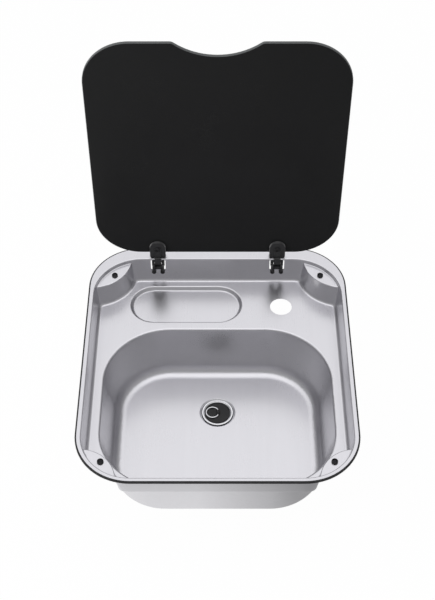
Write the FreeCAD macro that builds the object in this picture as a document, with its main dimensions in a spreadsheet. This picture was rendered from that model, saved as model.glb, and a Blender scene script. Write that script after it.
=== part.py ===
import FreeCAD, Part
import math
import os
import re
import Sketcher
from FreeCAD import Placement, Rotation, Vector

# Drop-in sink with a hinged glass lid. Z is up, +Y is the hinge side.
# The origin is the centre of the rim outline, on the worktop that the rim seal rests on.

DRIVING = {
    # rim and its seal
    "rim_width": 400.0,
    "rim_depth": 445.0,
    "rim_corner": 79.5,
    "sheet": 0.8,
    "flange_side": 6.0,
    "flange_front": 5.5,
    "flange_back": 23.2,
    "opening_corner": 73.5,
    "rim_bend": 2.0,
    "seal_thick": 2.6,
    "seal_lip": 2.4,
    "seal_inset": 3.2,
    # recess that takes the lid, with its deck and corner pads
    "recess_draft": 6.3,
    "deck_depth": 45.0,
    "deck_fillet": 5.0,
    "pad_depth": 6.5,
    "pad_fillet": 1.6,
    "pad_lip": 1.8,
    "pad_blend": 10.0,
    "pad_radius_back": 61.5,
    "pad_shift_back": 6.0,
    "pad_radius_front": 51.5,
    "pad_shift_front": 0.0,
    # bowl
    "bowl_side_margin": 21.0,
    "bowl_front_margin": 17.0,
    "bowl_back_margin": 111.0,
    "bowl_corner_back": 100.0,
    "bowl_corner_front": 96.0,
    "bowl_lip": 4.0,
    "floor_depth": 138.5,
    "floor_inset": 15.3,
    "floor_inset_back": 9.0,
    "floor_fillet": 18.0,
    # side dish and tap hole
    "dish_length": 178.0,
    "dish_width": 76.0,
    "dish_side_margin": 55.0,
    "dish_back_margin": 56.8,
    "dish_depth": 6.0,
    "dish_draft": 30.0,
    "dish_lip": 3.0,
    "dish_fillet": 3.0,
    "tap_dia": 35.0,
    "tap_side_margin": 92.5,
    "tap_back_margin": 62.2,
    # worktop screws and the rubber lid rests round them
    "screw_inset": 30.3,
    "screw_dia": 4.0,
    "screw_neck": 0.1,
    "screw_length": 22.0,
    "screw_head_dia": 6.6,
    "screw_head_thick": 1.6,
    "rest_dia": 9.4,
    "rest_thick": 2.6,
    "rest_gap": 0.2,
    # lid
    "lid_gap": 3.9,
    "lid_back_gap": 11.0,
    "lid_thick": 5.0,
    "lid_corner": 68.8,
    "lid_bevel": 0.8,
    "notch_radius": 100.0,
    "notch_depth": 22.0,
    "notch_blend": 10.0,
    "open_angle": 90.8,
    # hinges
    "hinge_span": 191.5,
    "pivot_back": 4.15,
    "pivot_drop": 5.75,
    "knuckle_radius": 4.2,
    "arm_width": 10.6,
    "arm_thick": 3.2,
    "edge_clearance": 0.9,
    "ledge_clearance": 1.0,
    "touch_gap": 0.05,
    "clamp_width": 25.0,
    "clamp_length": 32.1,
    "clamp_thick": 4.8,
    "clamp_pad": 0.5,
    "cap_thick": 2.2,
    "boss_radius": 4.7,
    "boss_height": 1.6,
    "clamp_screw_dia": 4.0,
    "clamp_screw_from_back": 17.7,
    "clamp_rim_gap": 2.3,
    "glass_hole_dia": 8.0,
    "cheek_thick": 3.45,
    "cheek_gap": 0.6,
    "pin_dia": 3.0,
    "foot_dia": 7.1,
    "foot_height": 4.5,
    "foot_depth": 24.4,
    "foot_spacing": 13.8,
    "foot_screw_dia": 3.0,
    "window_width": 23.8,
    "window_top": 2.4,
    "window_bottom": 21.2,
    # waste fitting and plug
    "waste_y": -3.5,
    "seat_dia": 56.6,
    "waste_seat": 8.5,
    "waste_dia": 55.0,
    "collar_dia": 49.0,
    "throat_length": 11.0,
    "throat_wall": 1.1,
    "throat_lip": 0.6,
    "throat_lip_thick": 0.8,
    "neck_gap": 3.0,
    "basket_dia": 38.0,
    "strainer_bar": 4.0,
    "strainer_thick": 2.0,
    "strainer_hub_dia": 12.0,
    "plug_dia": 39.8,
    "plug_thick": 3.0,
    "plug_sink": 1.3,
    "plug_clearance": 1.8,
    "plug_seal_dia": 39.4,
    "plug_seal_thick": 1.0,
    "plug_spigot_dia": 32.8,
    "ring_radius": 9.9,
    "ring_wire": 1.8,
    "ring_offset": 7.8,
    "ring_gap_angle": 32.0,
    "ring_lift": 1.6,
    "eye_length": 8.0,
    "eye_width": 4.6,
    "eye_height": 3.4,
    "waste_body_dia": 56.0,
    "waste_body_height": 34.0,
    "waste_body_wall": 2.6,
    "waste_screw_dia": 5.0,
    "washer_thick": 2.0,
    "outlet_dia": 25.0,
    "outlet_wall": 2.2,
    "outlet_length": 30.0,
    "stub_dia": 31.0,
    "stub_length": 12.0,
    "nut_dia": 38.0,
    "nut_length": 15.0,
}

# The name of each derived size and its formula.
DERIVED = {
    "flange_top": "seal_thick + sheet",
    "opening_side": "rim_width / 2 - flange_side",
    "opening_front": "rim_depth / 2 - flange_front",
    "opening_back": "rim_depth / 2 - flange_back",
    "wall_slope": "tan(recess_draft)",
    "bowl_side": "opening_side - bowl_side_margin",
    "bowl_front": "opening_front - bowl_front_margin",
    "bowl_back": "opening_back - bowl_back_margin",
    "dish_x": "dish_side_margin + dish_length / 2 - opening_side",
    "dish_y": "opening_back - dish_back_margin",
    "tap_x": "opening_side - tap_side_margin",
    "tap_y": "opening_back - tap_back_margin",
    "screw_x": "opening_side - screw_inset",
    "screw_back": "opening_back - screw_inset",
    "screw_front": "opening_front - screw_inset",
    "pivot_y": "opening_back + pivot_back",
    "pivot_z": "flange_top - pivot_drop",
    "hinge_x": "hinge_span / 2",
    "glass_low": "pivot_drop - pad_depth + rest_thick + rest_gap",
    "glass_high": "glass_low + lid_thick",
    "glass_back": "-pivot_back - lid_back_gap",
    "glass_front": "lid_gap - opening_front - opening_back - pivot_back",
    "clamp_high": "glass_low - clamp_pad",
    "clamp_low": "clamp_high - clamp_thick",
    "clamp_back": "-pivot_drop - clamp_rim_gap",
    "clamp_screw_y": "clamp_back - clamp_screw_from_back",
    "cheek_inner": "arm_width / 2 + cheek_gap",
    "cheek_outer": "cheek_inner + cheek_thick",
    "strip_inner": "-pivot_back - edge_clearance",
    "strip_outer": "strip_inner - arm_thick",
    "ledge_inner": "-pivot_drop - ledge_clearance",
    "ledge_outer": "ledge_inner - arm_thick",
    "foot_y": "-pivot_back - foot_depth * wall_slope",
    "foot_z": "pivot_drop - foot_depth",
    "floor_z": "flange_top - floor_depth",
    "waste_z": "floor_z - waste_seat",
    "plug_z": "floor_z - plug_sink",
    "plug_seat": "waste_seat - plug_sink - plug_thick",
    "throat_bore": "plug_dia / 2 + plug_clearance",
    "throat_outer": "throat_bore + throat_wall",
    "basket_low": "throat_lip_thick + touch_gap - throat_length",
    "eye_x": "ring_radius * cos(ring_gap_angle) - ring_offset",
    "washer_z": "waste_z - sheet",
    "body_z": "washer_z - washer_thick - 2 * touch_gap",
    "outlet_z": "body_z - waste_body_height + stub_dia / 2 + 1",
}

doc = FreeCAD.newDocument("sink")
sheet = doc.addObject("Spreadsheet::Sheet", "dims")
cells = list(DRIVING.items()) + [(name, "=" + text) for name, text in DERIVED.items()]
for row, (name, content) in enumerate(cells, start=1):
    sheet.set(f"A{row}", name)
    sheet.set(f"B{row}", str(content))
    sheet.setAlias(f"B{row}", name)
doc.recompute()

ALIAS = re.compile(r"\b(" + "|".join(list(DRIVING) + list(DERIVED)) + r")\b")
SUB_PARTS = []


def formula(text):
    """The text with each size written as the sheet's cell."""
    return ALIAS.sub(r"dims.\1", str(text))


def size(text):
    return float(sheet.evalExpression(formula(text)))


def bind(thing, **formulas):
    for name, text in formulas.items():
        thing.setExpression(name.replace("__", "."), formula(text))


def move(thing, x="0", y="0", z="0"):
    bind(thing, Placement__Base__x=x, Placement__Base__y=y, Placement__Base__z=z)
    return thing


def sub_part(thing, name):
    thing.Label = name
    SUB_PARTS.append(thing)
    return thing


# ---- sketches ----


def new_body(name):
    body = doc.addObject("PartDesign::Body", name)
    body.Label = name
    return body


def origin_plane(body, role):
    return [item for item in body.Origin.OriginFeatures if item.Role == role][0]


def new_sketch(body, role="XY_Plane", offset=None):
    sketch = body.newObject("Sketcher::SketchObject", body.Name + "_sketch")
    sketch.AttachmentSupport = [(origin_plane(body, role), "")]
    sketch.MapMode = "FlatFace"
    if offset is not None:
        bind(sketch, AttachmentOffset__Base__z=offset)
    return sketch


def constrain(sketch, arguments, text=None):
    index = sketch.addConstraint(Sketcher.Constraint(*arguments))
    if text is not None:
        sketch.setExpression(f"Constraints[{index}]", formula(text))


def pin_point(sketch, geometry, end, x, y):
    """Hold one point of a sketch at two bound coordinates."""
    constrain(sketch, ("DistanceX", -1, 1, geometry, end, size(x)), x)
    constrain(sketch, ("DistanceY", -1, 1, geometry, end, size(y)), y)


def draw_polygon(sketch, points):
    """A closed outline whose corners are pairs of formulas."""
    corners = [Vector(size(x), size(y), 0) for x, y in points]
    lines = []
    for start, end in zip(corners, corners[1:] + corners[:1]):
        lines.append(sketch.addGeometry(Part.LineSegment(start, end), False))
    for index, following in zip(lines, lines[1:] + lines[:1]):
        constrain(sketch, ("Coincident", index, 2, following, 1))
    for index, (x, y) in zip(lines, points):
        pin_point(sketch, index, 1, x, y)


def arc_of(x, y, radius, first, last):
    circle = Part.Circle(Vector(x, y, 0), Vector(0, 0, 1), radius)
    return Part.ArcOfCircle(circle, math.radians(first), math.radians(last))


def join_smoothly(sketch, indices):
    for index, following in zip(indices, indices[1:] + indices[:1]):
        constrain(sketch, ("Tangent", index, 2, following, 1))


def draw_rounded_box(sketch, left, right, front, back, front_radius, back_radius):
    """Four sides and four tangent corners; the front corners have their own radius."""
    x0, x1, y0, y1 = size(left), size(right), size(front), size(back)
    rf, rb = size(front_radius), size(back_radius)
    pieces = [
        Part.LineSegment(Vector(x0 + rf, y0, 0), Vector(x1 - rf, y0, 0)),
        arc_of(x1 - rf, y0 + rf, rf, 270, 360),
        Part.LineSegment(Vector(x1, y0 + rf, 0), Vector(x1, y1 - rb, 0)),
        arc_of(x1 - rb, y1 - rb, rb, 0, 90),
        Part.LineSegment(Vector(x1 - rb, y1, 0), Vector(x0 + rb, y1, 0)),
        arc_of(x0 + rb, y1 - rb, rb, 90, 180),
        Part.LineSegment(Vector(x0, y1 - rb, 0), Vector(x0, y0 + rf, 0)),
        arc_of(x0 + rf, y0 + rf, rf, 180, 270),
    ]
    index = [sketch.addGeometry(piece, False) for piece in pieces]
    join_smoothly(sketch, index)
    for side, direction in zip(index[::2], ("Horizontal", "Vertical") * 2):
        constrain(sketch, (direction, side))
    for corner, radius in zip(index[1::2], (front_radius, back_radius, back_radius, front_radius)):
        constrain(sketch, ("Radius", corner, size(radius)), radius)
    constrain(sketch, ("DistanceY", -1, 1, index[0], 1, y0), front)
    constrain(sketch, ("DistanceX", -1, 1, index[2], 1, x1), right)
    constrain(sketch, ("DistanceY", -1, 1, index[4], 1, y1), back)
    constrain(sketch, ("DistanceX", -1, 1, index[6], 1, x0), left)


# ---- features ----


def pad(body, sketch, length, down=False, both_ways=False):
    feature = body.newObject("PartDesign::Pad", body.Name + "_pad")
    feature.Profile = sketch
    feature.Reversed = down
    feature.Midplane = both_ways
    bind(feature, Length=length)
    return feature


def revolve(body, sketch):
    feature = body.newObject("PartDesign::Revolution", body.Name + "_turn")
    feature.Profile = sketch
    feature.ReferenceAxis = (sketch, ["V_Axis"])
    feature.Angle = 360.0
    return feature


def side_faces(shape):
    names = []
    for number, face in enumerate(shape.Faces, start=1):
        u0, u1, v0, v1 = face.ParameterRange
        if abs(face.normalAt((u0 + u1) / 2, (v0 + v1) / 2).z) < 0.5:
            names.append(f"Face{number}")
    return names


def taper_in(body, feature, angle):
    """Draft every side wall inwards below the body's own XY plane."""
    doc.recompute()
    draft = body.newObject("PartDesign::Draft", body.Name + "_draft")
    draft.Base = (feature, side_faces(feature.Shape))
    draft.NeutralPlane = (origin_plane(body, "XY_Plane"), [""])
    draft.Reversed = True
    bind(draft, Angle=angle)
    body.Tip = draft
    return draft


def round_edges(source, name, chosen, radius):
    """Part::Fillet on the edges that the test picks."""
    doc.recompute()
    numbers = [n for n, edge in enumerate(source.Shape.Edges, start=1) if chosen(edge)]
    if not numbers:
        raise RuntimeError(name + " finds no edge")
    feature = doc.addObject("Part::Fillet", name)
    feature.Base = source
    feature.Edges = [(number, radius, radius) for number in numbers]
    return feature


def middle_of(edge):
    return edge.valueAt((edge.FirstParameter + edge.LastParameter) / 2)


def at_height(edge, height):
    box = edge.BoundBox
    return abs(box.ZMin - height) < 1e-3 and abs(box.ZMax - height) < 1e-3


def fuse(name, pieces):
    feature = doc.addObject("Part::MultiFuse", name)
    feature.Shapes = pieces
    feature.Refine = True
    return feature


def cut(name, base, tool):
    feature = doc.addObject("Part::Cut", name)
    feature.Base = base
    feature.Tool = tool
    feature.Refine = True
    return feature


def mirrored(source, name, normal=(1, 0, 0)):
    feature = doc.addObject("Part::Mirroring", name)
    feature.Source = source
    feature.Base = Vector(0, 0, 0)
    feature.Normal = Vector(*normal)
    return feature


def group(name, pieces):
    feature = doc.addObject("Part::Compound", name)
    feature.Links = pieces
    return feature


def turned_body(name, points):
    """A ring or plug turned about its own Z axis from (radius, height) corners."""
    body = new_body(name)
    sketch = new_sketch(body, "XZ_Plane")
    draw_polygon(sketch, points)
    revolve(body, sketch)
    return body


def cylinder(name, radius, height):
    feature = doc.addObject("Part::Cylinder", name)
    bind(feature, Radius=radius, Height=height)
    return feature


# ---- the pressing: an outer form less an inner form, one sheet apart ----


def round_bottom(body, feature, depth, radius):
    """Round the edge between the side walls and the bottom face."""
    doc.recompute()
    names = []
    for number, edge in enumerate(feature.Shape.Edges, start=1):
        if at_height(edge, -size(depth)):
            names.append(f"Edge{number}")
    fillet = body.newObject("PartDesign::Fillet", body.Name + "_round")
    fillet.Base = (feature, names)
    bind(fillet, Radius=radius)
    body.Tip = fillet
    return fillet


def rounded_box_distance(point, left, right, front, back, front_radius, back_radius):
    """How far a point lies outside a rounded box, negative inside it."""
    radius = front_radius if point.y < (front + back) / 2 else back_radius
    x = min(max(point.x, left + radius), right - radius)
    y = min(max(point.y, front + radius), back - radius)
    outside = math.hypot(point.x - x, point.y - y)
    if outside > 0:
        return outside - radius
    return -min(point.x - left, right - point.x, point.y - front, back - point.y)


def on_outline(edge, *outline):
    return abs(rounded_box_distance(middle_of(edge), *outline)) < size("sheet")


def slab_form(name, grow):
    """The flange: a plate for the outer form, open space above the rim for the inner one."""
    body = new_body(name + "_slab")
    sketch = new_sketch(body)
    draw_rounded_box(sketch, "-rim_width / 2", "rim_width / 2", "-rim_depth / 2", "rim_depth / 2",
                     "rim_corner", "rim_corner")
    pad(body, sketch, "sheet" if grow == "sheet" else "rim_bend + 3", down=grow == "sheet")
    return move(body, z="flange_top")


def pad_form(name, grow, x_sign, end):
    """One corner pad: a cone that widens downwards, with a rounded lip round its top."""
    cone = doc.addObject("Part::Cone", f"{name}_{end}")
    height = "deck_depth - pad_depth + 1"
    bind(cone, Radius1=f"pad_radius_{end} - {grow} + (deck_depth + {grow} + 1) * wall_slope",
         Radius2=f"pad_radius_{end} - {grow} + (pad_depth + {grow}) * wall_slope", Height=height)
    y_sign = 1 if end == "back" else -1
    move(cone, f"{x_sign} * (opening_side + pad_shift_{end})",
         f"{y_sign} * (opening_{end} + pad_shift_{end})", f"flange_top - deck_depth - {grow} - 1")
    top = size(f"flange_top - pad_depth - {grow}")
    return round_edges(cone, cone.Name + "_lip", lambda edge: at_height(edge, top),
                       size(f"pad_lip - {grow}"))


def recess_form(name, grow):
    """The rim's opening carried down to the deck with its draft, less the four corner pads."""
    body = new_body(name + "_recess")
    sketch = new_sketch(body)
    draw_rounded_box(sketch, f"-opening_side - {grow}", f"opening_side + {grow}",
                     f"-opening_front - {grow}", f"opening_back + {grow}",
                     f"opening_corner + {grow}", f"opening_corner + {grow}")
    taper_in(body, pad(body, sketch, f"deck_depth + {grow}", down=True), "recess_draft")
    move(body, z="flange_top")
    pads = [pad_form(name + "_pad", grow, x_sign, end) for x_sign in (-1, 1) for end in ("front", "back")]
    return cut(name + "_cut", body, group(name + "_pads", pads))


def on_corner_wall(point, grow):
    """Whether a point lies on the drafted corner of the opening."""
    inset = grow - (size("flange_top") - point.z) * size("wall_slope")
    side, front = size("opening_side") + inset, size("opening_front") + inset
    back = size("opening_back") + inset
    corner = size("opening_corner") + inset
    return abs(rounded_box_distance(point, -side, side, -front, back, corner, corner)) < 0.02


def pad_distance(point, grow):
    """How far a point lies outside the wall of the nearest corner pad."""
    end = "back" if point.y > 0 else "front"
    shift = size("pad_shift_" + end)
    away = math.hypot(abs(point.x) - size("opening_side") - shift,
                      abs(point.y) - size("opening_" + end) - shift)
    drop = size("flange_top") - point.z
    return away - size("pad_radius_" + end) + grow - drop * size("wall_slope")


def blend_pads(source, name, grow):
    """Round the corner between pads and side walls, wider down their walls to the deck."""
    doc.recompute()
    narrow, wide = size("pad_fillet") + grow, size("pad_blend") + grow
    top, deck = size("flange_top") - grow, size("flange_top") - grow - size("deck_depth")
    edges = []
    for number, edge in enumerate(source.Shape.Edges, start=1):
        ends = [edge.valueAt(edge.FirstParameter), edge.valueAt(edge.LastParameter)]
        touching = all(on_corner_wall(p, grow) and pad_distance(p, grow) < 0.02
                       for p in ends + [middle_of(edge)])
        if touching and middle_of(edge).z > deck + 1 and middle_of(edge).z < top - 1:
            radii = [wide if abs(p.z - deck) < 0.01 else narrow for p in ends]
            edges.append((number, *radii))
    feature = doc.addObject("Part::Fillet", name)
    feature.Base = source
    feature.Edges = edges
    return feature


def bowl_form(name, grow):
    body = new_body(name + "_bowl")
    lip = new_sketch(body)
    draw_rounded_box(lip, f"-bowl_side - {grow}", f"bowl_side + {grow}", f"-bowl_front - {grow}",
                     f"bowl_back + {grow}", f"bowl_corner_front + {grow}", f"bowl_corner_back + {grow}")
    floor = new_sketch(body, offset=f"deck_depth - floor_depth - {grow}")
    draw_rounded_box(floor, f"floor_inset - bowl_side - {grow}", f"bowl_side - floor_inset + {grow}",
                     f"floor_inset - bowl_front - {grow}", f"bowl_back - floor_inset_back + {grow}",
                     f"bowl_corner_front - floor_inset + {grow}",
                     f"bowl_corner_back - floor_inset + {grow}")
    loft = body.newObject("PartDesign::AdditiveLoft", body.Name + "_loft")
    loft.Profile = lip
    loft.Sections = [floor]
    loft.Ruled = True
    round_bottom(body, loft, f"floor_depth - deck_depth + {grow}", f"floor_fillet + {grow}")
    return move(body, z="flange_top - deck_depth")


def dish_form(name, grow):
    body = new_body(name + "_dish")
    sketch = new_sketch(body)
    draw_rounded_box(sketch, f"-dish_length / 2 - {grow}", f"dish_length / 2 + {grow}",
                     f"-dish_width / 2 - {grow}", f"dish_width / 2 + {grow}",
                     f"dish_width / 2 + {grow} - 0.01", f"dish_width / 2 + {grow} - 0.01")
    block = pad(body, sketch, f"dish_depth + {grow}", down=True)
    walls = taper_in(body, block, "dish_draft")
    round_bottom(body, walls, f"dish_depth + {grow}", f"dish_fillet + {grow}")
    return move(body, "dish_x", "dish_y", "flange_top - deck_depth")


def waste_seat_form(name, grow):
    seat = cylinder(name + "_seat", f"seat_dia / 2 + {grow}", "waste_seat + 1")
    return move(seat, y="waste_y", z=f"waste_z - {grow}")


def pressing_form(name, grow_text):
    """All that one skin of the pressing encloses, from the rim down to the waste seat."""
    grow = size(grow_text)
    top = size("flange_top") - grow
    deck = top - size("deck_depth")
    side, front = size("opening_side") + grow, size("opening_front") + grow
    back = size("opening_back") + grow
    corner = size("opening_corner") + grow
    opening = (-side, side, -front, back, corner, corner)
    bowl_side, bowl_front = size("bowl_side") + grow, size("bowl_front") + grow
    bowl = (-bowl_side, bowl_side, -bowl_front, size("bowl_back") + grow,
            size("bowl_corner_front") + grow, size("bowl_corner_back") + grow)
    half_length, half_width = size("dish_length") / 2 + grow, size("dish_width") / 2 + grow
    dish_x, dish_y = size("dish_x"), size("dish_y")
    dish = (dish_x - half_length, dish_x + half_length, dish_y - half_width, dish_y + half_width,
            half_width - 0.01, half_width - 0.01)

    blended = blend_pads(recess_form(name, grow_text), name + "_blend", grow)
    recess = round_edges(blended, name + "_deck", lambda edge: at_height(edge, deck),
                         size("deck_fillet") + grow)
    whole = fuse(name + "_whole", [recess, slab_form(name, grow_text), bowl_form(name, grow_text),
                                   dish_form(name, grow_text), waste_seat_form(name, grow_text)])
    bowl_lip = round_edges(whole, name + "_bowl_lip",
                           lambda edge: at_height(edge, deck) and on_outline(edge, *bowl),
                           size("bowl_lip") - grow)
    dish_lip = round_edges(bowl_lip, name + "_dish_lip",
                           lambda edge: at_height(edge, deck) and on_outline(edge, *dish),
                           size("dish_lip") - grow)
    return round_edges(dish_lip, name + "_bend",
                       lambda edge: at_height(edge, top) and on_outline(edge, *opening),
                       size("rim_bend") - grow)


# ---- placing ----


def turn(thing, axis, angle, x="0", y="0", z="0"):
    thing.Placement = Placement(Vector(0, 0, 0), Rotation(Vector(*axis), size(angle)))
    bind(thing, Placement__Rotation__Angle=angle)
    return move(thing, x, y, z)


def on_pivot(thing, x="0"):
    """Stand a piece drawn for the closed lid at its place on the open lid."""
    return turn(thing, (-1, 0, 0), "open_angle", x, "pivot_y", "pivot_z")


def along_x(thing, x="0", y="0", z="0"):
    return turn(thing, (0, 1, 0), "90", x, y, z)


def along_y(thing, x="0", y="0", z="0"):
    return turn(thing, (-1, 0, 0), "90", x, y, z)


def off_wall(thing, x, proud="0"):
    """Stand a piece square to the drafted back wall at one hinge foot, in the pivot's frame."""
    return turn(thing, (1, 0, 0), "90 - recess_draft", x, f"foot_y - ({proud}) * cos(recess_draft)",
                f"foot_z + ({proud}) * sin(recess_draft)")


def four_pads(piece, z):
    """The same piece on each of the four corner pads."""
    copies = []
    for x_sign in (-1, 1):
        for y in ("-screw_front", "screw_back"):
            link = doc.addObject("Part::Compound", piece.Name + "_on_pad")
            link.Links = [piece]
            copies.append(move(link, f"{x_sign} * screw_x", y, z))
    return group(piece.Name + "_four", copies)


def pair(piece, name):
    """A piece at the right hinge together with its mirror image at the left one."""
    return group(name, [piece, mirrored(piece, name + "_mirror")])


def plate(name, length, left, right, front, back, front_radius, back_radius):
    body = new_body(name)
    sketch = new_sketch(body)
    draw_rounded_box(sketch, left, right, front, back, front_radius, back_radius)
    pad(body, sketch, length)
    return body


def side_plate(name, thickness, points, start=None):
    """A plate cut to a side view of (y, z) corners, centred on x = 0 unless a start is given."""
    body = new_body(name)
    sketch = new_sketch(body, "YZ_Plane", start)
    draw_polygon(sketch, points)
    pad(body, sketch, thickness, both_ways=start is None)
    return body


def box(name, length, width, height):
    feature = doc.addObject("Part::Box", name)
    bind(feature, Length=length, Width=width, Height=height)
    return feature


# ---- sink pressing ----


def hinge_window():
    body = new_body("hinge_window")
    sketch = new_sketch(body, "XZ_Plane")
    draw_rounded_box(sketch, "-window_width / 2", "window_width / 2", "-window_bottom", "-window_top",
                     "1.5", "1.5")
    pad(body, sketch, "16", both_ways=True)
    return move(body, "hinge_x", "opening_back", "flange_top")


def foot_hole(x):
    hole = cylinder("foot_hole", "foot_screw_dia / 2 + 0.2", "8")
    off_wall(hole, x, "-4")
    return hole


def sink_pressing():
    skin = cut("pressing_skin", pressing_form("outer", "sheet"), pressing_form("inner", "0"))
    tap = move(cylinder("tap_hole", "tap_dia / 2", "20"), "tap_x", "tap_y", "flange_top - deck_depth - 10")
    waste = move(cylinder("waste_hole", "throat_outer + neck_gap", "10"), "0", "waste_y", "waste_z - 5")
    pads = four_pads(cylinder("screw_hole", "screw_dia / 2 + 0.2", "10"), "flange_top - pad_depth - 5")
    feet = group("foot_holes", [foot_hole("-foot_spacing / 2"), foot_hole("foot_spacing / 2")])
    move(feet, "hinge_x", "pivot_y", "pivot_z")
    back = pair(group("hinge_cuts", [hinge_window(), feet]), "back_wall_cuts")
    return cut("pressing", skin, group("pressing_holes", [tap, waste, pads, back]))


sub_part(sink_pressing(), "sink_pressing")


# ---- rim seal ----


def rim_plate(name, length, beyond, start):
    edge_x, edge_y = f"(rim_width / 2 + {beyond})", f"(rim_depth / 2 + {beyond})"
    piece = plate(name, length, "-" + edge_x, edge_x, "-" + edge_y, edge_y,
                  f"rim_corner + {beyond}", f"rim_corner + {beyond}")
    return move(piece, z=start)


def rim_seal():
    block = rim_plate("seal_block", "flange_top - 0.1", "seal_lip", "0")
    rounded = round_edges(block, "seal_round", lambda edge: at_height(edge, size("flange_top - 0.1")),
                          size("seal_lip") / 2)
    rebate = rim_plate("seal_rebate", "sheet + 1", "touch_gap", "seal_thick - touch_gap")
    middle = rim_plate("seal_middle", "flange_top + 2", "(-seal_inset)", "-1")
    return cut("seal", rounded, group("seal_cuts", [rebate, middle]))


sub_part(rim_seal(), "rim_seal")


# ---- worktop screws and lid rests ----


def worktop_screw():
    head, shank = "screw_head_dia / 2", "screw_dia / 2"
    return turned_body("worktop_screw", [
        ("0", "screw_head_thick"), (f"{head} - 0.9", "screw_head_thick"),
        (head, "screw_head_thick - 0.7"), (head, "0"), (f"{shank} + screw_neck", "0"),
        (shank, "-sheet - 0.4"), (shank, "3 - screw_length"), ("0.3", "-screw_length"),
        ("0", "-screw_length")])


def cross_recess(name, span, depth):
    """The crossed slots in a screw head, drawn downwards from z = 0."""
    arms = []
    for number, (length, width) in enumerate(((span, "0.8"), ("0.8", span))):
        arm = box(f"{name}_arm", length, width, f"{depth} + 1")
        arms.append(move(arm, f"-({length}) / 2", f"-({width}) / 2", f"-({depth})"))
    return fuse(name, arms)


def lid_rest():
    return turned_body("lid_rest", [
        ("rest_dia / 2 - 1.1", "rest_thick"), ("rest_dia / 2 - 0.5", "rest_thick"),
        ("rest_dia / 2", "rest_thick - 0.7"), ("rest_dia / 2", "0"), ("rest_dia / 2 - 1.1", "0")])


slots = move(cross_recess("worktop_recess", "3.2", "0.9"), z="screw_head_thick")
screws = four_pads(cut("worktop_screw_cut", worktop_screw(), slots), "flange_top - pad_depth + touch_gap")
sub_part(screws, "worktop_screws")
sub_part(four_pads(lid_rest(), "flange_top - pad_depth + touch_gap"), "lid_rests")


# ---- hinge bases: drawn round the pivot, cheeks passing through the window ----


def inside_wall(z):
    return f"-pivot_back - (pivot_drop - ({z})) * wall_slope - touch_gap"


def foot_piece(name, points, x):
    return off_wall(turned_body(name, points), x)


def hinge_base():
    top = "pivot_drop - window_top - 0.4"
    bottom = "pivot_drop - window_bottom + 0.55"
    cheek = side_plate("hinge_cheek", "cheek_thick", [
        ("0", top), ("clamp_back + 1.05", top), ("clamp_back + 0.45", "1"),
        ("clamp_back + 0.45", "clamp_low - 0.65"), ("-pivot_back - 6.75", "clamp_low - 1.95"),
        ("-pivot_back - 6.85", "foot_z"), (inside_wall("foot_z"), "foot_z"),
        (inside_wall(bottom), bottom), ("-2", bottom), ("knuckle_radius - 0.3", "-1.5")], "cheek_inner")
    boss = along_x(cylinder("hinge_boss", "knuckle_radius", "cheek_thick"), "cheek_inner")
    right = fuse("hinge_side", [cheek, boss])
    web = box("hinge_web", "2 * cheek_inner + 2", "4.5", "5.5")
    move(web, "-cheek_inner - 1", "-7", bottom)
    feet = []
    for x in ("-foot_spacing / 2", "foot_spacing / 2"):
        feet.append(foot_piece("hinge_foot", [("0", "touch_gap"), ("foot_dia / 2", "touch_gap"),
                                              ("foot_dia / 2", "foot_height - 0.6"),
                                              ("foot_dia / 2 - 0.6", "foot_height"),
                                              ("0", "foot_height")], x))
    whole = fuse("hinge_whole", [right, mirrored(right, "hinge_other_side"), web] + feet)
    cuts = [along_x(cylinder("hinge_bore", "pin_dia / 2 + 0.02", "30"), "-15")]
    for x in ("-foot_spacing / 2", "foot_spacing / 2"):
        cuts.append(foot_piece("foot_bore", [("0", "-1"), ("foot_screw_dia / 2 + 0.1", "-1"),
                                             ("foot_screw_dia / 2 + 0.1", "foot_height - 1.8"),
                                             ("2.8", "foot_height - 1.8"), ("2.8", "foot_height + 2"),
                                             ("0", "foot_height + 2")], x))
    return move(cut("hinge_base", whole, group("hinge_base_cuts", cuts)), "hinge_x", "pivot_y", "pivot_z")


base = hinge_base()
sub_part(base, "hinge_base_right")
sub_part(mirrored(base, "hinge_base_other"), "hinge_base_left")


def foot_screw(x):
    head_low = "foot_height - 1.8 + touch_gap"
    screw = turned_body("foot_screw", [
        ("0", "foot_height - 0.3"), ("2", "foot_height - 0.3"), ("2.6", "foot_height - 0.7"),
        ("2.6", head_low), ("foot_screw_dia / 2", head_low), ("foot_screw_dia / 2", "-sheet - 3.2"),
        ("0", "-sheet - 3.2")])
    slotted = cut("foot_screw_cut", screw, move(cross_recess("foot_recess", "2.8", "0.8"),
                                                z="foot_height - 0.3"))
    return off_wall(slotted, x)


def foot_nut(x):
    prism = doc.addObject("Part::Prism", "foot_nut_block")
    prism.Polygon = 6
    bind(prism, Circumradius="foot_screw_dia + 0.1", Height="2.4")
    move(prism, z="-sheet - 2.4 - touch_gap")
    bore = move(cylinder("foot_nut_bore", "foot_screw_dia / 2 + 0.05", "6"), z="-sheet - 4")
    return off_wall(cut("foot_nut", prism, bore), x)


for make, name in ((foot_screw, "hinge_base_screws"), (foot_nut, "hinge_base_nuts")):
    two = group(name + "_two", [make("-foot_spacing / 2"), make("foot_spacing / 2")])
    sub_part(pair(move(two, "hinge_x", "pivot_y", "pivot_z"), name), name)


def hinge_pin():
    shank, head, reach = "pin_dia / 2", "pin_dia / 2 + 0.7", "cheek_outer + touch_gap"
    pin = turned_body("hinge_pin", [
        ("0", f"-({reach}) - 0.9"), ("1.4", f"-({reach}) - 0.9"), (head, f"-({reach}) - 0.4"),
        (head, f"-({reach})"), (shank, f"-({reach})"), (shank, reach), (head, reach),
        (head, f"{reach} + 0.4"), ("1.4", f"{reach} + 0.9"), ("0", f"{reach} + 0.9")])
    return along_x(pin, "hinge_x", "pivot_y", "pivot_z")


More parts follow.
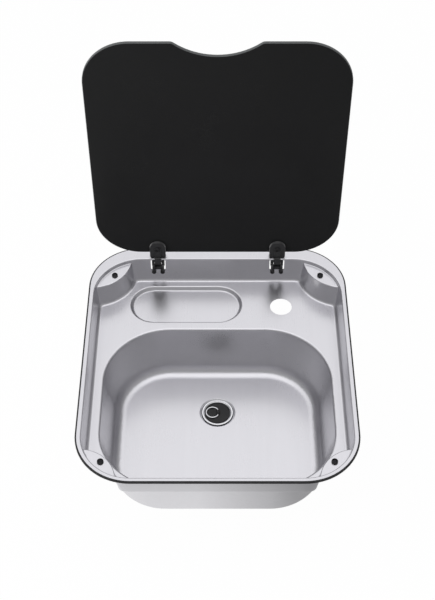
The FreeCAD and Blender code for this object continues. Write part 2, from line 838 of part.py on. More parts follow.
pin = hinge_pin()
sub_part(pin, "hinge_pin_right")
sub_part(mirrored(pin, "hinge_pin_other"), "hinge_pin_left")


def hinge_washer(start):
    washer = turned_body("hinge_washer", [("pin_dia / 2 + 0.1", "0"), ("3.5", "0"),
                                          ("3.5", "cheek_gap - 2 * touch_gap"),
                                          ("pin_dia / 2 + 0.1", "cheek_gap - 2 * touch_gap")])
    return along_x(washer, f"hinge_x + {start}", "pivot_y", "pivot_z")


washers = group("washers_two", [hinge_washer("arm_width / 2 + touch_gap"),
                                hinge_washer("(touch_gap - cheek_inner)")])
sub_part(pair(washers, "hinge_washers"), "hinge_washers")


# ---- lid ----


def lid_glass():
    side = "(opening_side - lid_gap)"
    blank = plate("glass_blank", "lid_thick", "-" + side, side, "glass_front", "glass_back",
                  "lid_corner", "lid_corner")
    move(blank, z="glass_low")
    finger = move(cylinder("glass_finger", "notch_radius", "lid_thick + 2"), "0",
                  "glass_front - notch_radius + notch_depth", "glass_low - 1")
    notched = cut("glass_notched", blank, finger)
    front = size("glass_front")
    smooth = round_edges(notched, "glass_smooth",
                         lambda edge: edge.BoundBox.ZLength > 1 and abs(middle_of(edge).y - front) < 0.01,
                         size("notch_blend"))
    doc.recompute()
    bevel = doc.addObject("Part::Chamfer", "glass_bevel")
    bevel.Base = smooth
    flat = [number for number, edge in enumerate(smooth.Shape.Edges, start=1)
            if edge.BoundBox.ZLength < 0.01]
    bevel.Edges = [(number, size("lid_bevel"), size("lid_bevel")) for number in flat]
    holes = []
    for sign in (-1, 1):
        hole = cylinder("glass_hole", "glass_hole_dia / 2", "lid_thick + 2")
        holes.append(move(hole, f"{sign} * hinge_x", "clamp_screw_y", "glass_low - 1"))
    return on_pivot(cut("glass", bevel, group("glass_holes", holes)))


sub_part(lid_glass(), "lid_glass")


def arch_plate(name, thick, start, inset="0"):
    piece = plate(name, thick, f"{inset} - clamp_width / 2", f"clamp_width / 2 - {inset}",
                  f"clamp_back - clamp_length + {inset}", f"clamp_back - {inset}",
                  f"clamp_width / 2 - {inset} - 0.05", "2")
    return move(piece, z=start)


def hinge_arm():
    clamp = arch_plate("arm_clamp", "clamp_thick", "clamp_low")
    eased = round_edges(clamp, "arm_clamp_round", lambda edge: at_height(edge, size("clamp_low")), 1.0)
    boss = move(cylinder("arm_boss", "boss_radius", "boss_height + 1"), "0", "clamp_screw_y",
                "clamp_low - boss_height")
    strap = box("arm_strap", "2 * boss_radius", "clamp_screw_from_back - 1", "boss_height + 1")
    move(strap, "-boss_radius", "clamp_screw_y", "clamp_low - boss_height")
    neck = side_plate("arm_neck", "arm_width", [
        ("ledge_outer", "clamp_low + 1"), ("ledge_outer", "strip_outer"),
        ("knuckle_radius", "strip_outer"), ("knuckle_radius", "0"),
        ("window_top + 0.6 - pivot_drop", "0"), ("window_top + 0.6 - pivot_drop", "strip_inner"),
        ("ledge_inner", "strip_inner"), ("ledge_inner", "clamp_low + 1")])
    low = size("strip_outer")
    bent = round_edges(neck, "arm_bend", lambda edge: abs(middle_of(edge).z - low) < 0.01
                       and abs(middle_of(edge).x) < 0.01, 3.0)
    knuckle = along_x(cylinder("arm_knuckle", "knuckle_radius", "arm_width"), "-arm_width / 2")
    whole = fuse("arm_whole", [eased, boss, strap, bent, knuckle])
    bore = along_x(cylinder("arm_bore", "pin_dia / 2 + 0.05", "30"), "-15")
    screw = turned_body("arm_screw_way", [
        ("0", "clamp_low - boss_height - 1"), ("3.7", "clamp_low - boss_height - 1"),
        ("3.7", "clamp_low + 0.7"), ("clamp_screw_dia / 2 + 0.2", "clamp_low + 0.7"),
        ("clamp_screw_dia / 2 + 0.2", "clamp_high + 1"), ("0", "clamp_high + 1")])
    move(screw, y="clamp_screw_y")
    return on_pivot(cut("arm", whole, group("arm_cuts", [bore, screw])), "hinge_x")


arm = hinge_arm()
sub_part(arm, "hinge_arm_right")
sub_part(mirrored(arm, "hinge_arm_other"), "hinge_arm_left")


def clamp_cap():
    cover = arch_plate("cap_cover", "cap_thick", "glass_high + clamp_pad")
    top = size("glass_high + clamp_pad + cap_thick")
    eased = round_edges(cover, "cap_round", lambda edge: at_height(edge, top), 1.0)
    sleeve = move(cylinder("cap_sleeve", "glass_hole_dia / 2 - 0.8", "lid_thick + clamp_pad + 0.5"), "0",
                  "clamp_screw_y", "glass_low")
    bore = move(cylinder("cap_bore", "clamp_screw_dia / 2 + 0.05", "lid_thick + clamp_pad + 1.3"), "0",
                "clamp_screw_y", "glass_low - 0.1")
    return on_pivot(cut("cap", fuse("cap_whole", [eased, sleeve]), bore), "hinge_x")


cap = clamp_cap()
sub_part(cap, "clamp_cap_right")
sub_part(mirrored(cap, "clamp_cap_other"), "clamp_cap_left")


def clamp_pad(name, start):
    sheet_piece = arch_plate(name, "clamp_pad - 2 * touch_gap", start, "0.4")
    hole = move(cylinder(name + "_hole", "glass_hole_dia / 2", "4"), "0", "clamp_screw_y", f"{start} - 2")
    return cut(name + "_cut", sheet_piece, hole)


pads = group("clamp_pads_two", [clamp_pad("pad_inside", "clamp_high + touch_gap"),
                                clamp_pad("pad_outside", "glass_high + touch_gap")])
sub_part(pair(on_pivot(pads, "hinge_x"), "clamp_pads"), "clamp_pads")


def clamp_screw():
    low, shank = "clamp_low - boss_height + 0.3", "clamp_screw_dia / 2"
    body = turned_body("clamp_screw", [
        ("0", low), ("2.6", low), ("3.4", f"{low} + 0.8"), ("3.4", "clamp_low + 0.65"),
        (shank, "clamp_low + 0.65"), (shank, "glass_high + clamp_pad + 0.6"),
        ("0", "glass_high + clamp_pad + 0.6")])
    slots = turn(cross_recess("clamp_recess", "3.6", "0.9"), (1, 0, 0), "180", z=low)
    return on_screw_line(cut("clamp_screw_cut", body, slots))


def on_screw_line(piece):
    line = group(piece.Name + "_line", [move(piece, y="clamp_screw_y")])
    return on_pivot(line, "hinge_x")


sub_part(pair(clamp_screw(), "clamp_screws"), "clamp_screws")


# ---- waste fitting ----


def waste_flange():
    """The polished ring round the waste, with a foot on the seat and its tube below."""
    bottom, lip, top = "-throat_length", "throat_bore - throat_lip", "waste_seat + 0.2"
    flange = turned_body("flange", [
        ("waste_dia / 2", "touch_gap"), ("waste_dia / 2", "1"), ("collar_dia / 2", "1"),
        ("collar_dia / 2", f"{top} - 0.5"), ("collar_dia / 2 - 0.5", top), ("throat_bore + 0.6", top),
        ("throat_bore", f"{top} - 0.6"), ("throat_bore", f"{bottom} + throat_lip_thick"),
        (lip, f"{bottom} + throat_lip_thick"), (lip, bottom), ("throat_outer", bottom),
        ("throat_outer", "touch_gap")])
    return move(flange, "0", "waste_y", "waste_z")


sub_part(waste_flange(), "waste_flange")


def waste_strainer():
    """A ring that the plug rests on, with a cross and a screw hub at its foot."""
    outer = "throat_bore - 0.1"
    ring = turned_body("strainer_ring", [
        ("basket_dia / 2", "basket_low"), (outer, "basket_low"), (outer, "plug_seat - touch_gap"),
        ("basket_dia / 2", "plug_seat - touch_gap")])
    bars = []
    for length, width in (("basket_dia + 1", "strainer_bar"), ("strainer_bar", "basket_dia + 1")):
        bar = box("strainer_bar_box", length, width, "strainer_thick")
        bars.append(move(bar, f"-({length}) / 2", f"-({width}) / 2", "basket_low"))
    hub = move(cylinder("strainer_hub", "strainer_hub_dia / 2", "strainer_thick"), z="basket_low")
    hole = move(cylinder("strainer_hole", "waste_screw_dia / 2 + 0.2", "6"), z="basket_low - 2")
    whole = fuse("strainer_whole", [ring, hub] + bars)
    return move(cut("strainer", whole, hole), "0", "waste_y", "waste_z")


sub_part(waste_strainer(), "waste_strainer")

washer = turned_body("waste_washer", [
    ("throat_outer + neck_gap", "-washer_thick"), ("waste_body_dia / 2", "-washer_thick"),
    ("waste_body_dia / 2", "0"), ("throat_outer + neck_gap", "0")])
sub_part(move(washer, "0", "waste_y", "washer_z - touch_gap"), "waste_seal")


def waste_body():
    """A cup under the bowl with a central screw boss and a threaded stub at the back."""
    outer, floor = "waste_body_dia / 2", "-waste_body_height"
    inner = f"{outer} - waste_body_wall"
    boss_top = "waste_z - body_z + basket_low - touch_gap"
    cup = turned_body("body_cup", [
        ("0", floor), (f"{outer} - 3", floor), (outer, f"{floor} + 3"), (outer, "0"), (inner, "0"),
        (inner, f"{floor} + waste_body_wall + 2"), (f"{inner} - 2", f"{floor} + waste_body_wall"),
        ("waste_screw_dia / 2 + 4", f"{floor} + waste_body_wall"), ("waste_screw_dia / 2 + 2.5", boss_top),
        ("0", boss_top)])
    reach = "waste_body_dia / 2 + stub_length"
    stub_z = "outlet_z - body_z"
    stub = along_y(cylinder("body_stub", "stub_dia / 2", f"{reach} - 18"), "0", "18", stub_z)
    room = cylinder("body_room", f"{inner} - 0.01", "waste_body_height - waste_body_wall - 2")
    move(room, z=f"{floor} + waste_body_wall + 2")
    way = along_y(cylinder("body_way", "outlet_dia / 2 - 0.5", reach), "0", "12", stub_z)
    thread = move(cylinder("body_thread", "waste_screw_dia / 2 + 0.05", "12"), z=f"{boss_top} - 11")
    spout = cut("body_spout", stub, room)
    piece = cut("body", fuse("body_whole", [cup, spout]), group("body_cuts", [way, thread]))
    return move(piece, "0", "waste_y", "body_z")


sub_part(waste_body(), "waste_body")


def waste_screw():
    start, shank = "basket_low + strainer_thick + touch_gap", "waste_screw_dia / 2"
    screw = turned_body("strainer_screw", [
        ("0", f"{start} + 1.7"), ("3", f"{start} + 1.7"), ("4.4", f"{start} + 0.9"), ("4.4", start),
        (shank, start), (shank, "-throat_length - 9"), ("0", "-throat_length - 10")])
    slots = move(cross_recess("strainer_recess", "4.4", "1"), z=f"{start} + 1.7")
    return move(cut("strainer_screw_cut", screw, slots), "0", "waste_y", "waste_z")


sub_part(waste_screw(), "waste_screw")


def beyond_stub(name, points):
    """A turned piece of the outlet, drawn from the stub's mouth outwards."""
    return along_y(turned_body(name, points), "0", "waste_y + waste_body_dia / 2 + stub_length", "outlet_z")


spigot, bore = "outlet_dia / 2", "outlet_dia / 2 - outlet_wall"
sub_part(beyond_stub("outlet_washer", [
    (f"{bore} + 1", "touch_gap"), ("stub_dia / 2 - 0.8", "touch_gap"),
    ("stub_dia / 2 - 0.8", "washer_thick"), (f"{bore} + 1", "washer_thick")]), "outlet_seal")
flange_end = "washer_thick + 2.2"
sub_part(beyond_stub("outlet_pipe", [
    (bore, "washer_thick + touch_gap"), ("stub_dia / 2 - 0.8", "washer_thick + touch_gap"),
    ("stub_dia / 2 - 0.8", flange_end), (f"{spigot} + 0.2", flange_end),
    (f"{spigot} + 0.2", f"{flange_end} + 4"), (spigot, f"{flange_end} + 4"),
    (spigot, f"{flange_end} + outlet_length - 1"), (f"{spigot} - 0.8", f"{flange_end} + outlet_length"),
    (bore, f"{flange_end} + outlet_length")]), "outlet_tail")


def outlet_nut():
    lip, outside = f"{flange_end} + touch_gap", "nut_dia / 2"
    turned = turned_body("nut_ring", [
        ("stub_dia / 2 + 0.1", f"{lip} + 2 - nut_length"), (f"{outside} - 1", f"{lip} + 2 - nut_length"),
        (outside, f"{lip} + 3 - nut_length"), (outside, f"{lip} + 1"), (f"{outside} - 1", f"{lip} + 2"),
        (f"{spigot} + 0.5", f"{lip} + 2"), (f"{spigot} + 0.5", lip), ("stub_dia / 2 + 0.1", lip)])
    ribs = []
    for turn_by in range(0, 180, 30):
        rib = box("nut_rib", "nut_dia + 2.4", "2.4", "nut_length - 5")
        rib.Placement = Placement(Vector(0, 0, 0), Rotation(Vector(0, 0, 1), turn_by))
        reach = "(nut_dia / 2 + 1.2)"
        cos, sin = f"cos({turn_by})", f"sin({turn_by})"
        ribs.append(move(rib, f"1.2 * {sin} - {reach} * {cos}", f"-1.2 * {cos} - {reach} * {sin}",
                         "washer_thick + 4.2 - nut_length"))
    hollow = move(cylinder("nut_hollow", "nut_dia / 2 - 1", "2 * nut_length"), z="-nut_length")
    grips = cut("nut_grips", fuse("nut_ribs", ribs), hollow)
    reach = "waste_y + waste_body_dia / 2 + stub_length"
    return along_y(fuse("nut", [turned, grips]), "0", reach, "outlet_z")


sub_part(outlet_nut(), "outlet_nut")


# ---- plug and its pull ring ----


def plug():
    edge, spigot_edge, lower = "plug_dia / 2", "plug_spigot_dia / 2", "plug_seal_thick - plug_thick"
    disc = turned_body("plug_disc", [
        ("0", "0"), (f"{edge} - 0.9", "0"), (edge, "-0.9"), (edge, f"{lower} + 0.4"),
        (f"{edge} - 0.4", lower), (spigot_edge, lower), (spigot_edge, "-plug_thick"), ("0", "-plug_thick")])
    eye = box("plug_eye", "eye_width", "eye_length", "eye_height + 1")
    move(eye, "eye_x - eye_width / 2", "-eye_length / 2", "-1")
    top = size("eye_height")
    round_eye = round_edges(eye, "plug_eye_round", lambda edge: at_height(edge, top)
                            and edge.BoundBox.YLength > 1, 1.5)
    hole = along_y(cylinder("plug_eye_bore", "ring_wire / 2 + touch_gap", "eye_length + 2"), "eye_x",
                   "-eye_length / 2 - 1", "ring_lift")
    return move(cut("plug", fuse("plug_whole", [disc, round_eye]), hole), "0", "waste_y", "plug_z")


sub_part(plug(), "plug_body")

seal_top = "plug_seal_thick - plug_thick - touch_gap"
plug_seal = turned_body("plug_seal_ring", [
    ("plug_spigot_dia / 2 + touch_gap", "-plug_thick"), ("plug_seal_dia / 2 - 0.3", "-plug_thick"),
    ("plug_seal_dia / 2", "0.3 - plug_thick"), ("plug_seal_dia / 2", seal_top),
    ("plug_spigot_dia / 2 + touch_gap", seal_top)])
sub_part(move(plug_seal, "0", "waste_y", "plug_z"), "plug_seal")


def pull_ring():
    """A ring of wire whose two ends turn in along Y to sit in the plug's eye."""
    hoop = doc.addObject("Part::Torus", "ring_hoop")
    bind(hoop, Radius1="ring_radius", Radius2="ring_wire / 2", Angle3="360 - 2 * ring_gap_angle")
    turn(hoop, (0, 0, 1), "ring_gap_angle", "-ring_offset")
    end = "ring_radius * sin(ring_gap_angle)"
    pieces = [hoop]
    for sign, start in ((1, "1"), (-1, f"-{end}")):
        wire = cylinder("ring_end", "ring_wire / 2", f"{end} - 1")
        pieces.append(along_y(wire, "eye_x", start))
        bend = doc.addObject("Part::Sphere", "ring_bend")
        bind(bend, Radius="ring_wire / 2")
        pieces.append(move(bend, "eye_x", f"{sign} * {end}"))
    return move(fuse("ring", pieces), "0", "waste_y", "plug_z + ring_lift")


sub_part(pull_ring(), "pull_ring")


# ---- check and write ----

doc.recompute()
for thing in doc.Objects:
    if "Invalid" in thing.State or "Error" in thing.State:
        raise RuntimeError(thing.Name + " is in state " + ", ".join(thing.State))
for thing in SUB_PARTS:
    if thing.Shape.isNull() or not thing.Shape.isValid():
        raise RuntimeError(thing.Label + " has no valid shape")

os.makedirs("parts", exist_ok=True)
for thing in SUB_PARTS:
    thing.Shape.exportStep("parts/" + thing.Label + ".step")
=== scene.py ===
import math

import bmesh
import bpy
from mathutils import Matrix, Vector

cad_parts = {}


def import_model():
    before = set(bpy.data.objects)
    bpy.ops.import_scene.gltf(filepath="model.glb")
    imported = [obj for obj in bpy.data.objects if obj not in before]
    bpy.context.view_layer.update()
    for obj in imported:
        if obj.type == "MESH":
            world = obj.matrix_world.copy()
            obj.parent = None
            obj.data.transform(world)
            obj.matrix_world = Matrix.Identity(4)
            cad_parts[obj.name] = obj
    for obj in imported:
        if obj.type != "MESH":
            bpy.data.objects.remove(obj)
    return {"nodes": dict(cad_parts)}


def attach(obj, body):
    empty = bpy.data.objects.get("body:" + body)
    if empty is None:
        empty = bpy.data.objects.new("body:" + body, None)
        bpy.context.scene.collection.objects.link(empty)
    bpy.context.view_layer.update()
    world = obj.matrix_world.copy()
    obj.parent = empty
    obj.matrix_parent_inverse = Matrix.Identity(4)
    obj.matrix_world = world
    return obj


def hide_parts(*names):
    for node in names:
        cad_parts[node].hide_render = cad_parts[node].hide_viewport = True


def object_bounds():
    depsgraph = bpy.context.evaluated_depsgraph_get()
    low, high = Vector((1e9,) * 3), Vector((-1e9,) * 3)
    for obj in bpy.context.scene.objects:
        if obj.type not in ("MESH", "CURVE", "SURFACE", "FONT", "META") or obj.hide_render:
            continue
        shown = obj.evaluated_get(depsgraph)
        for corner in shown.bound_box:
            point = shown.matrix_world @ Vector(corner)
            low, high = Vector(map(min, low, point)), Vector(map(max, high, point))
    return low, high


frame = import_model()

CAD_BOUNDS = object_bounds()
NODES = frame["nodes"]
MM = 0.001


# ---- materials ----

def new_material(name):
    material = bpy.data.materials.new(name)
    material.use_nodes = True
    tree = material.node_tree
    tree.nodes.clear()
    output = tree.nodes.new("ShaderNodeOutputMaterial")
    shader = tree.nodes.new("ShaderNodeBsdfPrincipled")
    tree.links.new(shader.outputs[0], output.inputs[0])
    return material, tree, shader


def node(tree, kind, inputs, **settings):
    """A shader node whose inputs are linked or set, and whose settings are given by name."""
    made = tree.nodes.new(kind)
    for key, value in settings.items():
        setattr(made, key, value)
    for key, value in inputs.items():
        socket = made.inputs[key]
        if isinstance(value, bpy.types.NodeSocket):
            tree.links.new(value, socket)
        else:
            socket.default_value = value
    return made


def place(tree, scale=(1, 1, 1)):
    """Object coordinates times a scale: a small number stretches the pattern along its axis."""
    where = node(tree, "ShaderNodeTexCoord", {}).outputs["Object"]
    return node(tree, "ShaderNodeMapping", {"Vector": where, "Scale": scale}).outputs[0]


def noise(tree, vector, scale, detail, rough):
    made = node(tree, "ShaderNodeTexNoise", {"Vector": vector, "Scale": scale, "Detail": detail,
                                             "Roughness": rough})
    return made.outputs["Fac"]


def spread(tree, value, low, high, start=0.3, end=0.7, curve="LINEAR"):
    """Map a value between start and end to the range from low to high."""
    made = node(tree, "ShaderNodeMapRange", {"Value": value, "From Min": start, "From Max": end,
                                             "To Min": low, "To Max": high},
                interpolation_type=curve)
    return made.outputs[0]


def ramp(tree, value, stops):
    made = node(tree, "ShaderNodeValToRGB", {"Fac": value})
    elements = made.color_ramp.elements
    while len(elements) < len(stops):
        elements.new(0.5)
    for element, (position, colour) in zip(elements, stops):
        element.position = position
        element.color = (*colour, 1.0)
    return made.outputs[0]


def add(tree, *values):
    total = values[0]
    for value in values[1:]:
        total = node(tree, "ShaderNodeMath", {0: total, 1: value}, operation="ADD").outputs[0]
    return total


def times(tree, first, second):
    return node(tree, "ShaderNodeMath", {0: first, 1: second}, operation="MULTIPLY").outputs[0]


def bump(tree, shader, height, distance, strength):
    made = node(tree, "ShaderNodeBump", {"Height": height, "Distance": distance,
                                         "Strength": strength})
    tree.links.new(made.outputs[0], shader.inputs["Normal"])


def shaded(colour, factor):
    return [channel * factor for channel in colour]


def steel(name, tint, rough):
    """Satin stainless sheet with a fine grain along Y, faint smears and hairline scratches."""
    material, tree, shader = new_material(name)
    shader.inputs["Metallic"].default_value = 1.0
    grain = noise(tree, place(tree, (1, 0.02, 1)), 1400, 4, 0.6)
    streak = noise(tree, place(tree, (1, 0.06, 1)), 90, 3, 0.55)
    smear = noise(tree, place(tree), 14, 4, 0.6)
    spots = noise(tree, place(tree), 420, 2, 0.5)
    scratches = noise(tree, place(tree, (1, 0.012, 1)), 2600, 2, 0.4)
    patches = spread(tree, add(tree, streak, smear), 0.0, 1.0, 0.7, 1.3)
    colour = ramp(tree, patches, [(0.0, shaded(tint, 0.985)), (1.0, shaded(tint, 1.015))])
    tree.links.new(colour, shader.inputs["Base Color"])
    roughness = add(tree, spread(tree, grain, rough - 0.02, rough + 0.02),
                    spread(tree, smear, -0.01, 0.015), spread(tree, spots, 0.0, 0.01, 0.6, 0.75))
    tree.links.new(roughness, shader.inputs["Roughness"])
    height = add(tree, spread(tree, grain, 0, 0.5), spread(tree, scratches, 0, 1.0, 0.66, 0.74))
    bump(tree, shader, height, 0.003 * MM, 0.25)
    return material


def dark_glass(name):
    """Black-tinted toughened glass with faint dust and wipe marks."""
    material, tree, shader = new_material(name)
    dust = noise(tree, place(tree), 700, 3, 0.7)
    wipe = noise(tree, place(tree, (0.4, 1, 0.25)), 18, 4, 0.6)
    marks = add(tree, spread(tree, wipe, 0, 0.5), spread(tree, dust, 0, 0.5, 0.45, 0.75))
    colour = ramp(tree, marks, [(0.0, (0.0158, 0.0160, 0.0163)), (1.0, (0.0192, 0.0193, 0.0196))])
    tree.links.new(colour, shader.inputs["Base Color"])
    roughness = add(tree, spread(tree, wipe, 0.2, 0.27), spread(tree, dust, 0, 0.05, 0.5, 0.8))
    tree.links.new(roughness, shader.inputs["Roughness"])
    shader.inputs["Specular IOR Level"].default_value = 0.06
    shader.inputs["IOR"].default_value = 1.5
    bump(tree, shader, wipe, 0.02 * MM, 0.15)
    return material


def ground_edge(name):
    """The ground bevel and edge of the pane: paler, matt and finely frosted."""
    material, tree, shader = new_material(name)
    frost = noise(tree, place(tree), 2400, 3, 0.6)
    colour = ramp(tree, frost, [(0.3, (0.085, 0.09, 0.09)), (0.7, (0.13, 0.135, 0.135))])
    tree.links.new(colour, shader.inputs["Base Color"])
    tree.links.new(spread(tree, frost, 0.4, 0.6), shader.inputs["Roughness"])
    shader.inputs["Specular IOR Level"].default_value = 0.3
    bump(tree, shader, frost, 0.02 * MM, 0.4)
    return material


def black_metal(name, base, rough):
    """Black powder-coated metal with a fine orange-peel and worn edges."""
    material, tree, shader = new_material(name)
    peel = noise(tree, place(tree), 1500, 3, 0.6)
    cloud = noise(tree, place(tree), 160, 3, 0.6)
    point = node(tree, "ShaderNodeNewGeometry", {}).outputs["Pointiness"]
    worn = times(tree, spread(tree, point, 0, 0.6, 0.53, 0.62),
                 spread(tree, cloud, 0, 0.5, 0.5, 0.8))
    colour = ramp(tree, add(tree, spread(tree, cloud, 0, 0.25), worn),
                  [(0.0, (base, base, base * 1.04)), (0.5, (base * 2.0, base * 2.0, base * 2.1)),
                   (1.0, (0.12, 0.12, 0.125))])
    tree.links.new(colour, shader.inputs["Base Color"])
    roughness = add(tree, spread(tree, peel, rough - 0.05, rough + 0.08),
                    spread(tree, cloud, -0.03, 0.04))
    tree.links.new(roughness, shader.inputs["Roughness"])
    shader.inputs["Specular IOR Level"].default_value = 0.4
    bump(tree, shader, peel, 0.04 * MM, 0.5)
    return material


def rubber(name, base, rough):
    """Matt black rubber with a dusty mottle."""
    material, tree, shader = new_material(name)
    fine = noise(tree, place(tree), 2200, 3, 0.65)
    cloud = noise(tree, place(tree), 90, 3, 0.6)
    colour = ramp(tree, add(tree, spread(tree, cloud, 0, 0.6), spread(tree, fine, 0, 0.4)),
                  [(0.0, (base, base, base)), (1.0, (base * 2.4, base * 2.4, base * 2.5))])
    tree.links.new(colour, shader.inputs["Base Color"])
    tree.links.new(spread(tree, fine, rough - 0.08, rough + 0.12), shader.inputs["Roughness"])
    shader.inputs["Specular IOR Level"].default_value = 0.35
    bump(tree, shader, fine, 0.06 * MM, 0.6)
    return material


def plated(name, tint, rough):
    """Plated or polished metal with finger smears and fine pits."""
    material, tree, shader = new_material(name)
    shader.inputs["Metallic"].default_value = 1.0
    smear = noise(tree, place(tree), 60, 4, 0.6)
    fine = noise(tree, place(tree), 1800, 2, 0.5)
    colour = ramp(tree, smear, [(0.3, shaded(tint, 0.93)), (0.7, tint)])
    tree.links.new(colour, shader.inputs["Base Color"])
    roughness = add(tree, spread(tree, smear, rough - 0.04, rough + 0.06),
                    spread(tree, fine, 0, 0.03, 0.6, 0.8))
    tree.links.new(roughness, shader.inputs["Roughness"])
    bump(tree, shader, fine, 0.01 * MM, 0.3)
    return material


def plastic(name, base, rough):
    """Moulded polypropylene: slight mottling and a fine spark texture."""
    material, tree, shader = new_material(name)
    grain = noise(tree, place(tree), 1300, 4, 0.6)
    cloud = noise(tree, place(tree), 45, 4, 0.6)
    colour = ramp(tree, cloud, [(0.3, base), (0.7, shaded(base, 1.5))])
    tree.links.new(colour, shader.inputs["Base Color"])
    tree.links.new(spread(tree, grain, rough - 0.06, rough + 0.1), shader.inputs["Roughness"])
    bump(tree, shader, grain, 0.05 * MM, 0.5)
    return material


STEEL = steel("satin_steel", (0.66, 0.655, 0.68), 0.29)
GLASS = dark_glass("tinted_glass")
GLASS_EDGE = ground_edge("ground_glass_edge")
BLACK = black_metal("black_coat", 0.016, 0.38)
BLACK_SCREW = black_metal("black_screw", 0.012, 0.3)
RUBBER = rubber("seal_rubber", 0.012, 0.62)
PLUG_RUBBER = rubber("plug_rubber", 0.010, 0.5)
CHROME = plated("polished_chrome", (0.80, 0.80, 0.82), 0.12)
ZINC = plated("zinc_plate", (0.55, 0.56, 0.58), 0.3)
DARK_ZINC = plated("black_zinc_plate", (0.035, 0.035, 0.038), 0.35)
PLASTIC = plastic("waste_plastic", (0.030, 0.030, 0.032), 0.45)
WIRE = plated("bright_wire", (0.96, 0.96, 0.98), 0.28)


# ---- pieces that stand for the CAD nodes, with one smooth surface each ----

WELD = 0.002 * MM       # corners this close are one
SLIVER = 0.0001 * MM    # shorter edges are dissolved
NORMAL_WEIGHT = 60
PANE_FLAT = 0.95        # a face of the pane with less than this share of its normal along Y is edge


def add_piece(name, mesh, material, body):
    mesh.materials.append(material)
    piece = bpy.data.objects.new(name, mesh)
    bpy.context.scene.collection.objects.link(piece)
    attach(piece, body)
    return piece


def ease_edges(piece, width, angle):
    ease = piece.modifiers.new("ease", "BEVEL")
    ease.width = width
    ease.segments = 2
    ease.limit_method = "ANGLE"
    ease.angle_limit = angle


def smooth_piece(name, item, material, body, slot, sharp, bevel):
    """The node's solids welded along their face edges, with smooth normals and eased corners.

    Edges that turn by more than sharp degrees stay sharp, or get the bevel where one is given.
    """
    sharp = math.radians(sharp)
    work = bmesh.new()
    work.from_mesh(NODES[item].data)
    bmesh.ops.remove_doubles(work, verts=work.verts, dist=WELD)
    bmesh.ops.dissolve_degenerate(work, edges=work.edges, dist=SLIVER)
    for face in work.faces:
        face.smooth = True
        face.material_index = 0
    for edge in work.edges:
        if len(edge.link_faces) == 2 and edge.calc_face_angle(0.0) > sharp:
            edge.smooth = False
    mesh = bpy.data.meshes.new(name)
    work.to_mesh(mesh)
    work.free()
    if "custom_normal" in mesh.attributes:
        mesh.attributes.remove(mesh.attributes["custom_normal"])
    piece = add_piece(name, mesh, material, body)
    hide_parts(item)
    if bevel:
        ease_edges(piece, bevel * MM, sharp)
    weighted = piece.modifiers.new("normals", "WEIGHTED_NORMAL")
    weighted.keep_sharp = True
    weighted.weight = NORMAL_WEIGHT
    return piece


# piece, CAD node, material, body, slot, sharp angle in degrees, bevel in mm
PIECES = (
    ("sink_bowl_and_rim", "sink_pressing", STEEL, "sink", "steel", 40, 0),
    ("rim_gasket", "rim_seal", RUBBER, "sink", "rubber", 40, 0),
    ("pad_screws", "worktop_screws", DARK_ZINC, "sink", "screw_steel", 30, 0.08),
    ("pad_rests", "lid_rests", RUBBER, "sink", "rubber", 30, 0.15),
    ("lid_pane", "lid_glass", GLASS, "lid", "glass", 30, 0),
    ("base_bracket_left", "hinge_base_left", BLACK, "sink", "hinge_metal", 30, 0.25),
    ("swing_arm_left", "hinge_arm_left", BLACK, "lid", "hinge_metal", 30, 0.25),
    ("outer_clamp_left", "clamp_cap_left", BLACK, "lid", "hinge_metal", 30, 0.2),
    ("pivot_pin_left", "hinge_pin_left", BLACK_SCREW, "sink", "black_screw", 30, 0.1),
    ("base_bracket_right", "hinge_base_right", BLACK, "sink", "hinge_metal", 30, 0.25),
    ("swing_arm_right", "hinge_arm_right", BLACK, "lid", "hinge_metal", 30, 0.25),
    ("outer_clamp_right", "clamp_cap_right", BLACK, "lid", "hinge_metal", 30, 0.2),
    ("pivot_pin_right", "hinge_pin_right", BLACK_SCREW, "sink", "black_screw", 30, 0.1),
    ("bracket_screws", "hinge_base_screws", BLACK_SCREW, "sink", "black_screw", 30, 0.1),
    ("bracket_nuts", "hinge_base_nuts", ZINC, "sink", "screw_steel", 30, 0.1),
    ("pivot_washers", "hinge_washers", DARK_ZINC, "sink", "screw_steel", 30, 0),
    ("glass_pads", "clamp_pads", RUBBER, "lid", "rubber", 30, 0),
    ("glass_screws", "clamp_screws", BLACK_SCREW, "lid", "black_screw", 30, 0.1),
    ("drain_flange", "waste_flange", CHROME, "sink", "waste_chrome", 35, 0.1),
    ("drain_strainer", "waste_strainer", ZINC, "sink", "screw_steel", 35, 0.1),
    ("drain_seal", "waste_seal", RUBBER, "sink", "rubber", 30, 0),
    ("drain_cup", "waste_body", PLASTIC, "sink", "waste_plastic", 35, 0.3),
    ("drain_screw", "waste_screw", ZINC, "sink", "screw_steel", 30, 0),
    ("hose_seal", "outlet_seal", RUBBER, "sink", "rubber", 30, 0),
    ("hose_tail", "outlet_tail", PLASTIC, "sink", "waste_plastic", 35, 0.3),
    ("hose_nut", "outlet_nut", PLASTIC, "sink", "waste_plastic", 35, 0.3),
    ("drain_plug", "plug_body", PLUG_RUBBER, "plug", "rubber", 35, 0.2),
    ("plug_sealing_ring", "plug_seal", PLUG_RUBBER, "plug", "rubber", 35, 0),
    ("plug_ring", "pull_ring", WIRE, "ring", "waste_chrome", 60, 0),
)


def finish_pane(pane):
    """Give the pane its ground edge, and leave it out of mirrored rays."""
    pane.visible_glossy = False
    pane.data.materials.append(GLASS_EDGE)
    for face in pane.data.polygons:
        face.material_index = int(abs(face.normal.y) < PANE_FLAT)


skins = {row[0]: smooth_piece(*row) for row in PIECES}
finish_pane(skins["lid_pane"])


# ---- small pieces that only show from close by ----

